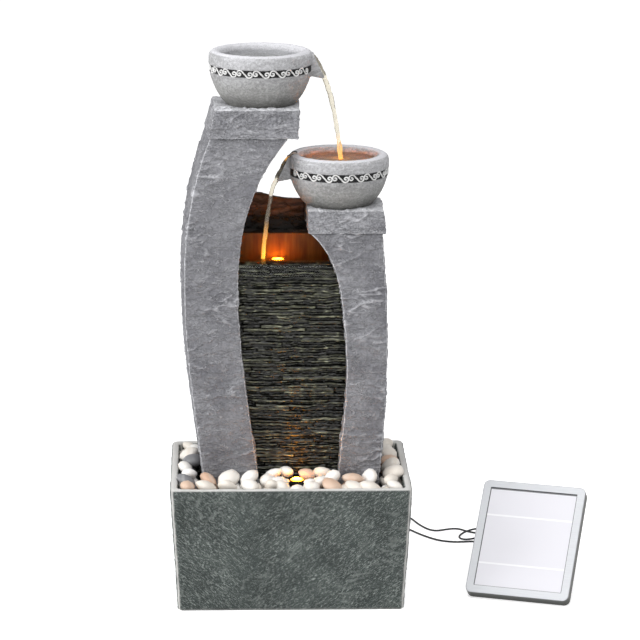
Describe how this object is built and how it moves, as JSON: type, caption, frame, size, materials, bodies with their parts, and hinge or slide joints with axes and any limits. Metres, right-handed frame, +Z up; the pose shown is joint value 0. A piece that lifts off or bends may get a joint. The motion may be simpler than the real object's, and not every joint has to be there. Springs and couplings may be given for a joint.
{
  "type": "tiered fountain",
  "caption": "Tiered garden fountain with curved slate pillars, pouring bowls, a wet stone face, a pebble-filled trough and a separate solar panel on leads.",
  "frame": {"origin": "centre of the trough's underside, on the ground", "axes": "+Z up, +Y to the back, +X to the right as seen from the front"},
  "size_m": [0.6106, 0.4531, 0.7945],
  "materials": {
    "cast_slate_dark": "cast polyresin with stone powder, chiselled slate texture",
    "cast_slate": "cast polyresin with stone powder, split slate texture",
    "cast_granite": "cast polyresin with stone powder, fine speckle",
    "wet_ledgestone": "cast polyresin with stone powder, wet thin courses",
    "basin_dark": "moulded, painted dark",
    "hatch_grey": "moulded, grained",
    "tray_black": "moulded",
    "pebble_cream": "water-worn, polished",
    "pebble_tan": "water-worn, polished",
    "pebble_grey": "water-worn, polished",
    "pump_plastic": "moulded",
    "impeller_plastic": "moulded",
    "pump_shaft_steel": "ground",
    "dial_plastic": "moulded",
    "foot_rubber": "moulded suction cup",
    "tube_vinyl": "clear soft tube",
    "lamp_housing": "moulded",
    "lamp_lens": "amber light",
    "lead_black": "extruded sheath",
    "panel_housing": "moulded, fine grain",
    "panel_frame": "brushed, satin anodised",
    "solar_glass": "cells under clear resin",
    "battery_wrap": "shrink wrap",
    "circuit_board": "solder mask",
    "fastener_steel": "turned"
  },
  "bodies": {
    "fountain": {"basin_lamp": "lamp_housing", "basin_lamp_lead": "lead_black", "basin_lamp_lens": "lamp_lens", "bowl_inlet": "lamp_housing", "bowl_lamp": "lamp_housing", "bowl_lamp_lead": "lead_black", "bowl_lamp_lens": "lamp_lens", "coil_ties": "lead_black", "lamp_grommet": "lead_black", "lamp_lead_coil": "lead_black", "lamp_lead_run": "lead_black", "lamp_lead_start": "lead_black", "lamp_tail": "lead_black", "lead_splitter": "lead_black", "left_cap": "cast_slate", "left_pillar": "cast_slate", "lower_bowl": "cast_granite", "panel_back": "panel_housing", "panel_battery": "battery_wrap", "panel_bezel": "panel_frame", "panel_board": "circuit_board", "panel_glands": "lead_black", "panel_screws": "fastener_steel", "pebble_lamp": "lamp_housing", "pebble_lamp_lead": "lead_black", "pebble_lamp_lens": "lamp_lens", "pebble_tray": "tray_black", "pebbles_cream": "pebble_cream", "pebbles_grey": "pebble_grey", "pebbles_tan": "pebble_tan", "pump_body": "pump_plastic", "pump_cover": "pump_plastic", "pump_feet": "foot_rubber", "pump_grommet": "lead_black", "pump_lead_coil": "lead_black", "pump_lead_run": "lead_black", "pump_lead_start": "lead_black", "pump_shaft": "pump_shaft_steel", "pump_tail": "lead_black", "rear_panel": "cast_slate", "right_cap": "cast_slate", "right_pillar": "cast_slate", "riser_tube": "tube_vinyl", "slate_face": "wet_ledgestone", "solar_cells": "solar_glass", "stand_pin": "fastener_steel", "top_bowl": "cast_granite", "trough": "cast_slate_dark", "upper_basin": "basin_dark"},
    "impeller": {"pump_impeller": "impeller_plastic"},
    "dial": {"flow_dial": "dial_plastic"},
    "hatch": {"pump_hatch": "hatch_grey"},
    "button": {"panel_button": "panel_housing"},
    "stand": {"panel_stand": "panel_housing"}
  },
  "joints": [
    {"name": "impeller_spin", "type": "hinge", "parent": "fountain", "child": "impeller", "pos_m": [0, 0.0005, 0.044], "axis": [1, 0, 0], "continuous": true},
    {"name": "dial_turn", "type": "hinge", "parent": "fountain", "child": "dial", "pos_m": [-0.015, 0.0005, 0.044], "axis": [1, 0, 0], "range_deg": [0, 90]},
    {"name": "hatch_pull", "type": "slide", "parent": "fountain", "child": "hatch", "axis": [0, 1, 0], "range_m": [0, 0.12]},
    {"name": "button_press", "type": "slide", "parent": "fountain", "child": "button", "axis": [-0.237, -0.7165, 0.6561], "range_m": [0, 0.0015], "stiffness_N_per_m": 400, "springref_m": -0.001},
    {"name": "stand_fold", "type": "hinge", "parent": "fountain", "child": "stand", "pos_m": [0.35829, 0.00164, 0.09201], "axis": [-0.9494, 0.314, 0], "range_deg": [0, 53]}
  ]
}
